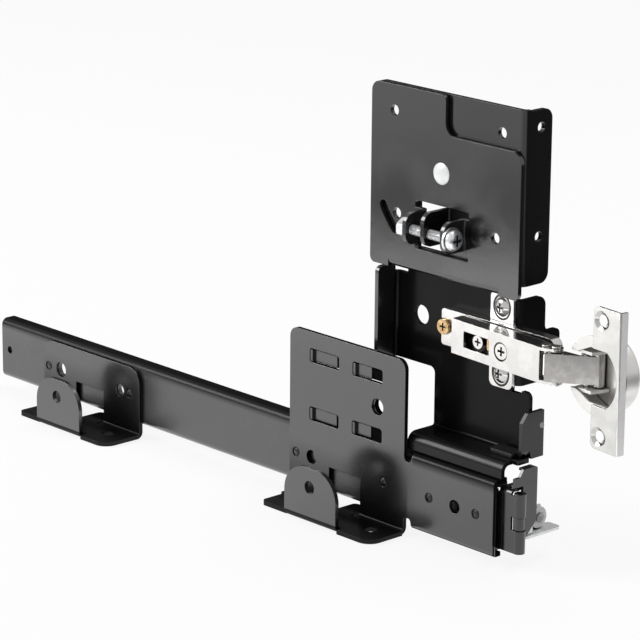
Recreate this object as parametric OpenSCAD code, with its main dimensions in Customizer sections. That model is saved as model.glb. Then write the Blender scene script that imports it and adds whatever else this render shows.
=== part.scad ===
// Pocket door slide unit: ball race rail on two folded brackets, one-sheet
// carriage, tilting follower plate with adjusting screw, and a cup hinge.
// X runs along the rail to the cabinet front, Y away from the camera, Z up.
// The origin is midway between the two base screw holes, at floor level.
// All sizes are in millimetres.

/* [Sheets] */
// Thickness of the black carriage and bracket sheets
sheet_t = 2.2; // [1.2:0.1:3]
// Inside radius of the sharp bends
bend_r = 1.3; // [0.8:0.1:3]
// Front face of the bracket uprights, along Y
bracket_y = 10.5; // [6:0.5:16]
// Gap between two sheets that slide on each other
sheet_gap = 0.2; // [0.1:0.05:0.6]

/* [Rail and ball race] */
// Rear end of the rail along X
rail_x0 = -202; // [-320:1:-120]
// Front end of the rail along X
rail_x1 = 164; // [100:1:240]
// Height of the rail's centre line above the floor
rail_z = 22.6; // [18:0.1:40]
// Rail height
rail_h = 32.4; // [26:0.1:50]
// Rail web thickness
rail_t = 1.8; // [1.2:0.1:2.5]
// Rail depth, front of web to back of lips
rail_depth = 9; // [8:0.1:16]
// Outside corner radius of the rail
rail_corner_r = 3.4; // [1:0.1:4]
// Race ball diameter
ball_d = 4; // [3:0.1:6]
// Running gap between a ball and each groove
ball_gap = 0.05; // [0.02:0.01:0.1]
// How deep the ball grooves are pressed
groove_depth = 0.4; // [0.2:0.05:0.8]
// Distance between balls in a row
ball_pitch = 10.6; // [8:0.1:20]
// Balls in each row
ball_count = 20; // [8:1:40]
// Rear end of the ball cage at the front stop
cage_x0 = -60; // [-160:1:0]
// Cage sheet thickness
cage_t = 0.6; // [0.4:0.1:1]
// Rear end of the runner at the front stop
runner_x0 = 101; // [60:1:140]
// Runner length
runner_len = 48; // [30:1:90]
// Runner web thickness
runner_t = 1.6; // [1:0.1:2.4]

/* [Brackets] */
// How far the base reaches to the front of the upright
base_front = 23; // [15:0.5:40]
// Base screw hole diameter
base_hole_d = 6.5; // [4:0.1:9]
// Base screw hole from the origin, to each side
base_hole_x = 97.25; // [70:0.05:160]
// Top of the front tabs
tab_top = 27.7; // [20:0.1:40]
// Front tab hole diameter
tab_hole_d = 6.6; // [4:0.1:8]
// Height of the front tab holes
tab_hole_z = 18.2; // [12:0.1:30]
// How far the rear tongues reach behind the upright's front face
tongue_back = 10.1; // [6:0.1:16]
// Front upright, rear edge
fb_x0 = 29; // [10:0.5:60]
// Front upright, front edge
fb_x1 = 108; // [80:0.5:140]
// Front upright height
fb_top = 85.2; // [50:0.1:120]
// Lanced window length and height
lance_w = 20.5; // [12:0.1:30]
lance_h = 7; // [5:0.1:10]
// How far the lanced tongues are set back, and their pressed thickness
lance_back = 1.6; // [0.6:0.1:1.8]
lance_t = 1.1; // [0.6:0.1:1.2]
// Width of a lanced tongue
lance_tongue = 5.8; // [3:0.1:6.2]
// Rear upright, rear edge
rb_x0 = -163; // [-220:0.5:-120]
// Rear upright, front edge
rb_x1 = -85; // [-110:0.5:-60]
// Rear upright height
rb_top = 36.8; // [30:0.1:60]
// Rail sleeve, rear and front edge
sleeve_x0 = 113; // [100:0.5:130]
sleeve_x1 = 166; // [140:0.5:200]
// Bracket rivet shank diameter
rivet_d = 3.2; // [2:0.1:5]
// Bracket rivet head diameter
rivet_head_d = 4; // [3.4:0.1:8]
// Clearance of shanks and pins in their holes, on the radius
pin_gap = 0.05; // [0.02:0.01:0.1]

/* [Carriage sheet] */
// Front face of the upper plate, along Y
plate_y = 18; // [15:0.1:26]
// Front face of the tray, along Y
tray_y = 31; // [26:0.1:40]
// Upper plate, left and right edge
plate_x0 = 75.6; // [60:0.1:90]
plate_x1 = 171; // [150:0.1:190]
// Underside and top of the upper plate
plate_z0 = 125.4; // [110:0.1:140]
plate_z1 = 211.8; // [180:0.1:240]
// Corner notch of the upper plate, left edge and bottom
notch_x = 123.5; // [110:0.1:150]
notch_z = 193.2; // [180:0.1:205]
// Top of the bottom shelf
shelf_z = 49.7; // [47:0.1:60]
// Radius of the rolled shelf lip, outside
lip_r = 5; // [3:0.1:8]
// Lower edge of the rolled lip
lip_z = 41.8; // [41.5:0.1:44]
// Left edge of the lower tray
tray_x0 = 106.8; // [95:0.1:120]
// Right edge of the lower tray
tray_x1 = 167.6; // [155:0.1:180]
// Lower edge of the left half of the tray
tray_step_z = 77.8; // [65:0.1:90]
// Round hole in the tray
tray_hole_d = 9.5; // [5:0.1:14]
// Right ear: face position, upper and lower reach to the back
ear_x = 160.7; // [150:0.1:170]
ear_top_y = 47.5; // [40:0.1:60]
ear_low_y = 57.5; // [45:0.1:70]
// Diameter of the small plate holes
plate_hole_d = 5.2; // [3:0.1:7]

/* [Follower and adjuster] */
// Pivot rivet position
pivot_x = 121.5; // [110:0.1:130]
pivot_z = 175.2; // [165:0.1:185]
// Pivot rivet head and shank diameter
pivot_head_d = 10.3; // [8:0.1:14]
pivot_d = 6; // [4:0.1:8]
// Radius, width, middle angle and sweep of the curved slot
kidney_r = 43; // [38:0.1:48]
kidney_w = 4.9; // [4:0.1:6]
kidney_mid = 218; // [200:0.5:240]
kidney_sweep = 17; // [6:0.5:30]
// Depth of the follower's side flange, outside
flange_depth = 16.9; // [10:0.1:30]
// Side flange hole diameter and spacing
flange_hole_d = 4.6; // [3:0.1:7]
flange_hole_step = 50; // [30:0.5:70]
// Adjusting screw axis
screw_y = 9; // [7:0.1:12]
screw_z = 149; // [145:0.1:153]
// Adjusting screw diameter
screw_d = 5; // [4:0.5:6]
// Front edge of the three adjuster ears
ear_front = 4.6; // [2:0.1:6]
// Left faces of the three adjuster ears
ear1_x = 110.3; // [108:0.1:114]
ear2_x = 122; // [119:0.1:125]
ear3_x = 134.6; // [130:0.1:138]

/* [Cup hinge] */
// Height of the hinge's centre line
hinge_z = 101; // [90:0.1:110]
// Wing screw position along X, and offset from the centre line
wing_x = 151; // [140:0.1:160]
wing_dz = 15.7; // [12:0.1:18]
// Arm: left and right end of the face, front at each end
arm_x0 = 130.3; // [125:0.1:140]
arm_x1 = 189.3; // [180:0.1:200]
arm_y0 = 17.7; // [15:0.1:20]
arm_y1 = 13.3; // [11:0.1:18]
// Arm height and sheet thickness
arm_h = 16.4; // [12:0.1:20]
arm_t = 1.4; // [1:0.1:2]
// Outer link pivot on the arm
pin_a = [194.72, 18.3];
// Inner link pivot on the arm
pin_b = [189.65, 17.2];
// Outer link pivot in the cup
pin_c = [212.06, 27.85];
// Inner link pivot in the cup
pin_d = [206.84, 25.49];
// Link pin diameter
link_pin_d = 2.6; // [2:0.1:3]
// Play of the inner link's cup pin, on the radius
open_gap = 0.2; // [0.15:0.01:0.3]
// Cup centre
cup_c = [216.83, 18];
// Turn of the cup about the vertical
cup_turn = -6; // [-20:0.5:10]
// Cup diameter and depth
cup_d = 35; // [26:0.1:40]
cup_depth = 13.4; // [11:0.1:14]
// Outside radius of the cup's back corner
cup_corner_r = 2.2; // [1:0.1:4]
// Wing plate height, and screw hole spacing
cup_wing_h = 65; // [55:0.5:75]
cup_hole_step = 53; // [42:0.5:60]

/* [End pieces] */
// Flap knuckle axis
flap_x = 176.5; // [172:0.1:185]
flap_y = 17.2; // [16:0.1:20]
// Knuckle outside diameter
knuckle_d = 5.6; // [4:0.1:8]
// Guide roller diameter and width
roller_d = 10.4; // [6:0.1:12]
roller_w = 3; // [2:0.1:4]
// Guide roller: face nearest the rail, and its axis
roller_x = 168.4; // [166:0.1:169]
roller_y = 35.6; // [32:0.1:38]
roller_z = 19.5; // [18:0.1:22]

/* [Hidden] */
$fn = 96;
e = 0.01;
bo = bend_r + sheet_t;
sheet_y1 = bracket_y + sheet_t;
rail_y = sheet_y1;
rail_half = rail_h / 2;
ball_r = ball_d / 2;
groove_r = ball_r + ball_gap;
ball_w = rail_half - rail_t - groove_r;
flange_in = ball_w + groove_r - groove_depth;
rail_back = rail_y + rail_depth;
lip_t = 1.2;
ball_y = rail_back - lip_t - 0.15 - ball_r;
runner_half = ball_w - groove_r + groove_depth;
runner_y1 = rail_back + 0.3;
runner_y0 = rail_y + rail_t + 2;
cage_y = rail_y + rail_t + 1.1;
cage_len = ball_count * ball_pitch - 2;
runner_x1 = runner_x0 + runner_len;
hole_r = rivet_d / 2 + pin_gap;
head_sink = 0.4;
tray_back = tray_y + sheet_t;
plate_back = plate_y + sheet_t;
foll_y = plate_back + sheet_gap;
foll_back = foll_y + sheet_t;
shaft_r = screw_d / 2;
ear_top = 156.8;
ear_bot = 142;
link_r = link_pin_d / 2;
pin_hole_r = link_r + pin_gap;
arm_slope = (arm_y1 - arm_y0) / (arm_x1 - arm_x0);
link_half = arm_h / 2 - arm_t - 0.3;
cup_r = cup_d / 2;
body_y = 25.6;
knuckle_r = knuckle_d / 2;
shelf_under = shelf_z - sheet_t;

// Profile drawn in X and Z, thick from y0 to y1
module xz(y0, y1) {
    translate([0, y1, 0]) rotate([90, 0, 0]) linear_extrude(y1 - y0) children();
}

// Profile drawn in Y and Z, long from x0 to x1
module yz(x0, x1) {
    translate([x0, 0, 0]) rotate([90, 0, 90]) linear_extrude(x1 - x0) children();
}

// Profile drawn in X and Y, high from z0 to z1
module xy(z0, z1) {
    translate([0, 0, z0]) linear_extrude(z1 - z0) children();
}

// Rectangle from a corner to the opposite corner
module box2(a0, b0, a1, b1) {
    translate([a0, b0]) square([a1 - a0, b1 - b0]);
}

// What a rounded corner leaves over; sa and sb point out of the part
module corner2(a, b, sa, sb, r) {
    difference() {
        translate([sa > 0 ? a - r : a - e, sb > 0 ? b - r : b - e]) square(r + e);
        translate([a - sa * r, b - sb * r]) circle(r);
    }
}

// Rectangle with four corner radii: low left, low right, top right, top left
module round2(a0, b0, a1, b1, r) {
    difference() {
        box2(a0, b0, a1, b1);
        if (r[0] > 0) corner2(a0, b0, -1, -1, r[0]);
        if (r[1] > 0) corner2(a1, b0, 1, -1, r[1]);
        if (r[2] > 0) corner2(a1, b1, 1, 1, r[2]);
        if (r[3] > 0) corner2(a0, b1, -1, 1, r[3]);
    }
}

// Quarter of a bent sheet seen from its end; sa and sb point to the outside
module bend2(a, b, sa, sb, ri, t) {
    translate([a, b]) intersection() {
        difference() {
            circle(ri + t);
            circle(ri);
        }
        translate([sa > 0 ? 0 : -(ri + t), sb > 0 ? 0 : -(ri + t)]) square(ri + t);
    }
}

// Round hole through a sheet that faces Y
module hole_y(x, z, d, y0, y1) {
    translate([x, y0 - 1, z]) rotate([-90, 0, 0]) cylinder(d = d, h = y1 - y0 + 2);
}

// Round bar along Y
module bar_y(x, z, r, y0, y1) {
    translate([x, y0, z]) rotate([-90, 0, 0]) cylinder(r = r, h = y1 - y0);
}

// Round bar along X
module bar_x(y, z, r, x0, x1) {
    translate([x0, y, z]) rotate([0, 90, 0]) cylinder(r = r, h = x1 - x0);
}

// Round bar along Z
module bar_z(x, y, r, z0, z1) {
    translate([x, y, z0]) cylinder(r = r, h = z1 - z0);
}

// Shallow domed head on a bar along Y, the dome towards the camera
module dome_y(x, z, r, y_face, h) {
    sr = (r * r + h * h) / (2 * h);
    intersection() {
        translate([x, y_face - h + sr, z]) sphere(sr);
        bar_y(x, z, r, y_face - h - 1, y_face);
    }
}

// Cross recess for a screw head that faces the camera
module cross_y(x, z, w, y_face, deep) {
    translate([x - w / 2, y_face - 1, z - w / 8]) cube([w, deep + 1, w / 4]);
    translate([x - w / 8, y_face - 1, z - w / 2]) cube([w / 4, deep + 1, w]);
}

// Foot shared by both brackets: base, bends, tongue and front tab.
// wa and wb bound the window, ta and tb the tongue, fa and fb the front tab.
module foot(x0, x1, bx0, bx1, wa, wb, ta, tb, fa, fb, tab_r, hole_x, tab_hole_x, right_r) {
    y_in = bracket_y - bend_r;
    y_front = bracket_y - base_front;
    y_fin = y_front + sheet_t + bend_r;
    // bends from the two legs into the base
    for (s = [[x0, wa], [wb, x1]])
        yz(s[0], s[1]) bend2(y_in, bo, 1, -1, bend_r, sheet_t);
    difference() {
        xy(0, sheet_t) difference() {
            union() {
                round2(bx0, y_front + 2.2, fa, y_in, [3, 0, 0, 0]);
                round2(fa - e, y_front, bx1, y_in, [0, right_r, 0, 0]);
                box2(x0, y_in - 4, x1, y_in);
                box2(wa, y_in - e, wb, y_in + 2.4);
                round2(ta, y_in, tb, bracket_y + tongue_back, [0, 0, 2.4, 2.4]);
            }
            // cuts beside the tongue
            box2(wa, y_in - 3, ta, bracket_y + tongue_back);
            box2(tb, y_in - 3, wb, bracket_y + tongue_back);
            // bend reliefs beside the tab, and the tab's own bend
            box2(fa - 0.9, y_front - e, fa, y_fin + 0.6);
            box2(fb, y_front - e, fb + 0.9, y_fin + 0.6);
            box2(fa - e, y_front - e, fb + e, y_fin);
        }
        bar_z(hole_x, 0, base_hole_d / 2, -1, sheet_t + 1);
    }
    yz(fa, fb) bend2(y_fin, bo, -1, -1, bend_r, sheet_t);
    difference() {
        xz(y_front, y_front + sheet_t)
            round2(fa, bo, fb, tab_top, [0, 0, tab_r, tab_r]);
        hole_y(tab_hole_x, tab_hole_z, tab_hole_d, y_front, y_front + sheet_t);
    }
}

// Tongue lanced from the upright, pressed thinner and set back
module lanced(xc, zc, reach) {
    xl = xc - lance_w / 2;
    yf = bracket_y + lance_back;
    lance_low = 0.6;
    xy(zc - lance_tongue / 2 - 0.3, zc + lance_tongue / 2 - 0.3) polygon([
        [xl - e, bracket_y + 0.3], [xl + 1.5, bracket_y + 0.3], [xl + 3.2, yf], [xl + reach, yf],
        [xl + reach, yf + lance_low], [xl + lance_w - 1, yf + lance_low],
        [xl + lance_w - 1, yf + lance_t + 0.1], [xl + 2.4, yf + lance_t + 0.1],
        [xl + 1.2, sheet_y1], [xl - e, sheet_y1]]);
}

module cabinet_rail() {
    color("#101113") difference() {
        translate([0, 0, rail_z]) yz(rail_x0, rail_x1) difference() {
            round2(rail_y, -rail_half, rail_back, rail_half,
                [rail_corner_r, 1, 1, rail_corner_r]);
            // space behind the web, then the two ball grooves, then the mouth
            box2(rail_y + rail_t, -flange_in, rail_back - lip_t, flange_in);
            for (s = [-1, 1])
                translate([ball_y, s * ball_w]) circle(groove_r);
            box2(rail_back - lip_t - e, -runner_half - 1.3, rail_back + 1, runner_half + 1.3);
        }
        // blind mark near the end
        bar_y(rail_x0 + 6.5, rail_z, 2, rail_y - 1, rail_y + rail_t - 0.4);
        hole_y(-148.9, rail_z, 8, rail_y, rail_back);
        hole_y(-100.4, rail_z, 6.5, rail_y, rail_back);
        hole_y(141.4, rail_z, 6.6, rail_y, rail_back);
        for (x = [-159, -93, 33.6, 94, 124.7, 154.9])
            hole_y(x, rail_z, 2 * hole_r, rail_y, rail_y + rail_t);
    }
}

module front_bracket() {
    fillet = 3;
    sl = rail_half + 0.15;
    color("#121316") union() {
        difference() {
            union() {
                difference() {
                    xz(bracket_y, sheet_y1) difference() {
                        round2(fb_x0, bo, fb_x1, fb_top, [0, 0, 5, 5]);
                        box2(57, bo - 1, 78.7, 20.5);
                        for (xc = [53.1, 82.7], zc = [44.6, 73.7])
                            round2(xc - lance_w / 2, zc - lance_h / 2, xc + lance_w / 2,
                                zc + lance_h / 2, [1.5, 1.5, 1.5, 1.5]);
                    }
                    hole_y(89.7, 58.5, 8, bracket_y, sheet_y1);
                    hole_y(44.6, rail_z, 7, bracket_y, sheet_y1);
                }
                // neck between upright and sleeve, rounded above and below
                xz(bracket_y, sheet_y1) difference() {
                    box2(fb_x1 - 1, 9.2 - 2.5, sleeve_x0 + 1, 36.4 + 2.5);
                    translate([(fb_x1 + sleeve_x0) / 2, 9.2 - 2.5]) circle(2.5);
                    translate([(fb_x1 + sleeve_x0) / 2, 36.4 + 2.5]) circle(2.5);
                }
                // sleeve round the rail's front end
                translate([0, 0, rail_z]) yz(sleeve_x0, sleeve_x1) union() {
                    box2(bracket_y, -sl + 0.6, sheet_y1, sl - 0.6);
                    bend2(sheet_y1 + 0.6, sl - 0.6, -1, 1, 0.6, sheet_t);
                    bend2(sheet_y1 + 0.6, -sl + 0.6, -1, -1, 0.6, sheet_t);
                    box2(sheet_y1 + 0.6, sl, bracket_y + 8.8, sl + sheet_t);
                    box2(sheet_y1 + 0.6, -sl - sheet_t, bracket_y + 5.6, -sl);
                }
            }
            hole_y(141.4, rail_z, 6.6, bracket_y, sheet_y1);
            for (x = [33.6, 94, 124.7, 154.9]) {
                hole_y(x, rail_z, 2 * hole_r, bracket_y, sheet_y1);
                bar_y(x, rail_z, rivet_head_d / 2 + 0.5, bracket_y - 1, bracket_y + head_sink);
            }
        }
        for (zc = [44.6, 73.7]) {
            lanced(53.1, zc, 17.5);
            lanced(82.7, zc, 11.5);
        }
        // drawn collar behind the guide hole
        difference() {
            bar_y(89.7, 58.5, 5.2, sheet_y1 - e, sheet_y1 + 2.6);
            hole_y(89.7, 58.5, 8, bracket_y, sheet_y1 + 4);
        }
        foot(fb_x0, fb_x1, fb_x0 + 2.5, fb_x1 + 1, 57, 78.7, 65, 76.5, 50.5, 86, 14,
            base_hole_x, 68, 7);
    }
}

module rear_bracket() {
    color("#121316") union() {
        difference() {
            xz(bracket_y, sheet_y1) difference() {
                round2(rb_x0, bo, rb_x1, rb_top, [0, 0, 8, 8]);
                box2(-136.3, bo - 1, -113.8, 19);
            }
            hole_y(-148.9, rail_z, 8, bracket_y, sheet_y1);
            hole_y(-100.4, rail_z, 6.5, bracket_y, sheet_y1);
            for (x = [-159, -93]) {
                hole_y(x, rail_z, 2 * hole_r, bracket_y, sheet_y1);
                bar_y(x, rail_z, rivet_head_d / 2 + 0.5, bracket_y - 1, bracket_y + head_sink);
            }
        }
        foot(rb_x0, rb_x1, rb_x0 + 4.5, rb_x1, -136.3, -113.8, -128.5, -115, -140.3, -105.5, 14,
            -base_hole_x, -123.7, 7);
    }
}

// Rivets through bracket, rail and, at the front, the flap bracket
module bracket_rivets() {
    color("#17181b") for (x = [-159, -93, 33.6, 94, 124.7, 154.9]) {
        tail = rail_y + rail_t + (x > 150 ? 1.2 : 0);
        union() {
            bar_y(x, rail_z, rivet_d / 2, bracket_y + head_sink - e, tail + e);
            dome_y(x, rail_z, rivet_head_d / 2, bracket_y + head_sink, 0.65);
            bar_y(x, rail_z, rivet_head_d / 2, tail, tail + 0.7);
        }
    }
}

// Stamped cage: a web behind the runner and two legs between the races
module ball_retainer() {
    color("#c9ccd0") translate([0, 0, rail_z]) difference() {
        yz(cage_x0, cage_x0 + cage_len) union() {
            box2(cage_y, -ball_w + 1, cage_y + cage_t, ball_w - 1);
            bend2(cage_y + 1, ball_w - 1 + cage_t / 2, -1, 1, 1 - cage_t, cage_t);
            box2(cage_y, ball_w - 1 - e, cage_y + cage_t, ball_w - 1 + cage_t / 2 + e);
            bend2(cage_y + 1, -ball_w + 1 - cage_t / 2, -1, -1, 1 - cage_t, cage_t);
            box2(cage_y, -ball_w + 1 - cage_t / 2 - e, cage_y + cage_t, -ball_w + 1 + e);
            for (s = [-1, 1])
                translate([cage_y + 1, s * ball_w - cage_t / 2])
                    square([ball_y + ball_r - 0.1 - cage_y - 1, cage_t]);
        }
        for (i = [0 : ball_count - 1], s = [-1, 1])
            bar_z(cage_x0 + 4.3 + i * ball_pitch, ball_y, ball_r + 0.08,
                s * ball_w - 1, s * ball_w + 1);
        // lightening windows in the web
        for (i = [0 : 6])
            translate([cage_x0 + 14 + i * 29, cage_y - 1, -5]) cube([18, 3, 10]);
    }
}

module ball_row(s) {
    for (i = [0 : ball_count - 1])
        translate([cage_x0 + 4.3 + i * ball_pitch, ball_y, rail_z + s * ball_w]) sphere(ball_r);
}

module race_balls_top() {
    color("#d8dadd") ball_row(1);
}

module race_balls_bottom() {
    color("#d8dadd") ball_row(-1);
}

// Short inner member: web at the mouth, legs towards the rail's web
module runner() {
    color("#b9bcc0") difference() {
        translate([0, 0, rail_z]) yz(runner_x0, runner_x1) difference() {
            round2(runner_y0, -runner_half, runner_y1, runner_half, [0, 0.9, 0.9, 0]);
            box2(runner_y0 - 1, -runner_half + 1.8, runner_y1 - runner_t, runner_half - 1.8);
            for (s = [-1, 1])
                translate([ball_y, s * ball_w]) circle(groove_r);
        }
        for (x = [runner_x0 + 12, runner_x1 - 11])
            hole_y(x, rail_z, 2 * hole_r, runner_y1 - runner_t, runner_y1);
    }
}

module runner_rivets() {
    color("#a9acb0") for (x = [runner_x0 + 12, runner_x1 - 11]) union() {
        bar_y(x, rail_z, rivet_d / 2, runner_y1 - runner_t - e, runner_y1 + sheet_t + e);
        bar_y(x, rail_z, 2.8, runner_y1 - runner_t - 0.8, runner_y1 - runner_t);
        bar_y(x, rail_z, 2.8, runner_y1 + sheet_t, runner_y1 + sheet_t + 0.8);
    }
}

// Folded strip from the runner up to the underside of the bottom shelf
module runner_bracket() {
    y1 = runner_y1 + sheet_t;
    color("#121316") difference() {
        yz(runner_x0 + 3, runner_x1 - 3) union() {
            box2(runner_y1, rail_z - 9.6, y1, shelf_under - bo);
            bend2(y1 + bend_r, shelf_under - bo, -1, 1, bend_r, sheet_t);
            box2(y1 + bend_r, shelf_under - sheet_t, tray_y, shelf_under);
        }
        for (x = [runner_x0 + 12, runner_x1 - 11])
            hole_y(x, rail_z, 2 * hole_r, runner_y1, y1);
    }
}

// Short slot across the tilt pivot's radius, where a stop screw would run
module kidney2() {
    w = kidney_w / 2;
    a0 = kidney_mid - kidney_sweep / 2;
    a1 = kidney_mid + kidney_sweep / 2;
    translate([pivot_x, pivot_z]) polygon(concat(
        [for (i = [0:4]) let (a = a0 + (a1 - a0) * i / 4)
            [(kidney_r + w) * cos(a), (kidney_r + w) * sin(a)]],
        [for (i = [1:7]) let (b = a1 + 22.5 * i)
            [kidney_r * cos(a1) + w * cos(b), kidney_r * sin(a1) + w * sin(b)]],
        [for (i = [0:4]) let (a = a1 - (a1 - a0) * i / 4)
            [(kidney_r - w) * cos(a), (kidney_r - w) * sin(a)]],
        [for (i = [1:7]) let (b = a0 + 180 + 22.5 * i)
            [kidney_r * cos(a0) + w * cos(b), kidney_r * sin(a0) + w * sin(b)]]));
}

// Adjuster ear in the YZ plane, with rounded front corners and the screw hole
module adjuster_ear(x0, zb, zt, y_back) {
    difference() {
        yz(x0, x0 + sheet_t) round2(ear_front, zb, y_back, zt, [5, 0, 0, 5]);
        bar_x(screw_y, screw_z, shaft_r + 0.1, x0 - 1, x0 + sheet_t + 1);
    }
}

// The whole carriage sheet, cut and folded from one blank
module carrier() {
    win_z0 = 137.2;
    win_z1 = 160.2;
    shelf_x0 = 88;
    shelf_x1 = 158.4;
    wall_z1 = plate_z0 - 2;
    relief_z = wall_z1 - 3.8;
    ear_z0 = 80.5;
    color("#0f1012") union() {
        // upper plate with its window, slot and holes
        difference() {
            xz(plate_y, plate_back) difference() {
                round2(plate_x0, plate_z0 + bo, plate_x1, plate_z1, [0, 0, 0, 5]);
                difference() {
                    box2(notch_x, notch_z, plate_x1 + 1, plate_z1 + 1);
                    difference() {
                        box2(notch_x - 1, notch_z - 1, notch_x + 6, notch_z + 6);
                        translate([notch_x + 6, notch_z + 6]) circle(6);
                    }
                }
                corner2(notch_x, plate_z1, 1, 1, 3);
                corner2(plate_x1, notch_z, 1, 1, 6);
                difference() {
                    round2(105, win_z0, 139.5, win_z1, [1.2, 1.2, 1.2, 1.2]);
                    box2(100, ear_bot, ear1_x - bend_r, ear_top);
                    box2(ear3_x + sheet_t + bend_r, ear_bot, 145, ear_top);
                }
                kidney2();
            }
            hole_y(90.7, 199.7, plate_hole_d, plate_y, plate_back);
            hole_y(93.2, 151.7, plate_hole_d, plate_y, plate_back);
            hole_y(156.1, 151.7, plate_hole_d, plate_y, plate_back);
            hole_y(pivot_x, pivot_z, pivot_d + 2 * pin_gap, plate_y, plate_back);
        }
        // two adjuster ears bent to the front
        xy(ear_bot, ear_top) bend2(ear1_x - bend_r, plate_y - bend_r, 1, 1, bend_r, sheet_t);
        adjuster_ear(ear1_x, ear_bot, ear_top, plate_y - bend_r);
        xy(ear_bot, ear_top) bend2(ear3_x + bo, plate_y - bend_r, -1, 1, bend_r, sheet_t);
        adjuster_ear(ear3_x, ear_bot, ear_top, plate_y - bend_r);
        // plate bottom outside the shelf
        xz(plate_y, plate_back) union() {
            round2(plate_x0, plate_z0, shelf_x0 - 0.2, plate_z0 + bo + e, [3, 0, 0, 0]);
            round2(shelf_x1 + 0.2, plate_z0, plate_x1, plate_z0 + bo + e, [0, 3, 0, 0]);
        }
        // joggle: bend, shelf, bend
        yz(shelf_x0, shelf_x1) union() {
            bend2(plate_back + bend_r, plate_z0 + bo, -1, -1, bend_r, sheet_t);
            box2(plate_back + bend_r, plate_z0, tray_y - bend_r, plate_z0 + sheet_t);
            bend2(tray_y - bend_r, plate_z0 - bend_r, 1, 1, bend_r, sheet_t);
        }
        // tray
        difference() {
            xz(tray_y, tray_back) difference() {
                union() {
                    box2(shelf_x0, tray_step_z, shelf_x1, plate_z0 - bend_r);
                    box2(81 + bend_r, tray_step_z, shelf_x0 + e, relief_z);
                    round2(tray_x0, shelf_z + bend_r, tray_x1, ear_z0 - 1.5, [0, 0, 3, 0]);
                }
                // free top edge at the right, down to the ear
                box2(150, 121.2, 170, 130);
                // cut beside the ear's bend
                box2(ear_x - bo, ear_z0 - 1.5, 170, 130);
                box2(ear_x - bo - 1, ear_z0 - 3, ear_x + 2, ear_z0);
            }
            hole_y(97.4, 101.3, tray_hole_d, tray_y, tray_back);
            for (s = [-1, 1])
                hole_y(wing_x, hinge_z + s * wing_dz, 4.2, tray_y, tray_back);
        }
        // inside corner of the step, rounded
        xz(tray_y, tray_back) difference() {
            box2(tray_x0 - 3, tray_step_z - 3, tray_x0 + e, tray_step_z + e);
            translate([tray_x0 - 3, tray_step_z - 3]) circle(3);
        }
        // left wall, forward of the tray
        xy(tray_step_z, relief_z) bend2(81 + bend_r, tray_y - bend_r, -1, 1, bend_r, sheet_t);
        yz(81 - sheet_t, 81)
            difference() {
                round2(plate_y + 0.4, tray_step_z, tray_y - bend_r, wall_z1, [3, 0, 0, 3]);
                corner2(tray_y - bend_r, wall_z1, 1, 1, 2.4);
            }
        // right ear, to the back, in two depths
        xy(ear_z0, 121.2) bend2(ear_x - bo, tray_back + bend_r, 1, -1, bend_r, sheet_t);
        yz(ear_x - sheet_t, ear_x) difference() {
            union() {
                round2(tray_back + bend_r, ear_z0, ear_low_y, 104, [0, 3, 3, 0]);
                round2(tray_back + bend_r, 95, ear_top_y, 121.2, [0, 0, 5, 0]);
                box2(ear_top_y - 1, 103, ear_top_y + 3, 107);
            }
            translate([ear_top_y + 3, 107]) circle(3);
        }
        // bottom shelf and its rolled lip
        yz(tray_x0, tray_x1) union() {
            bend2(tray_y - bend_r, shelf_z + bend_r, 1, -1, bend_r, sheet_t);
            box2(18.7, shelf_under, tray_y - bend_r, shelf_z);
            bend2(18.7, shelf_z - lip_r, -1, 1, lip_r - sheet_t, sheet_t);
            box2(18.7 - lip_r, lip_z, 18.7 - lip_r + sheet_t, shelf_z - lip_r);
        }
        xy(shelf_under, shelf_z) round2(tray_x1 - e, 21, tray_x1 + 3.4, 28.8, [0, 1, 1, 0]);
    }
}

// Small angle on the bottom shelf, its face at the carriage's right edge
module end_tab() {
    fx = tray_x1 + 0.3;
    color("#121316") difference() {
        union() {
            xy(shelf_z, shelf_z + sheet_t)
                round2(152, 21, fx - bend_r, 29.2, [2, 0, 0, 2]);
            xz(24.4, 29.2) bend2(fx - bend_r, shelf_z + bo, 1, -1, bend_r, sheet_t);
            yz(fx, fx + sheet_t) polygon([[24.4, shelf_z + bo], [29.2, shelf_z + bo],
                [30.6, 48.5], [38.5, 48.5], [38.5, 70.6], [28, 70.6], [24.4, 66.4]]);
        }
        bar_x(37.2, 63.3, 1.5 + pin_gap, fx - 1, fx + sheet_t + 1);
    }
}

module end_tab_rivet() {
    fx = tray_x1 + 0.3;
    color("#8f9296") union() {
        bar_x(37.2, 63.3, 1.5, fx - e, fx + sheet_t);
        intersection() {
            translate([fx, 37.2, 63.3]) sphere(3.5);
            bar_x(37.2, 63.3, 4, fx - 4, fx);
        }
    }
}

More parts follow.
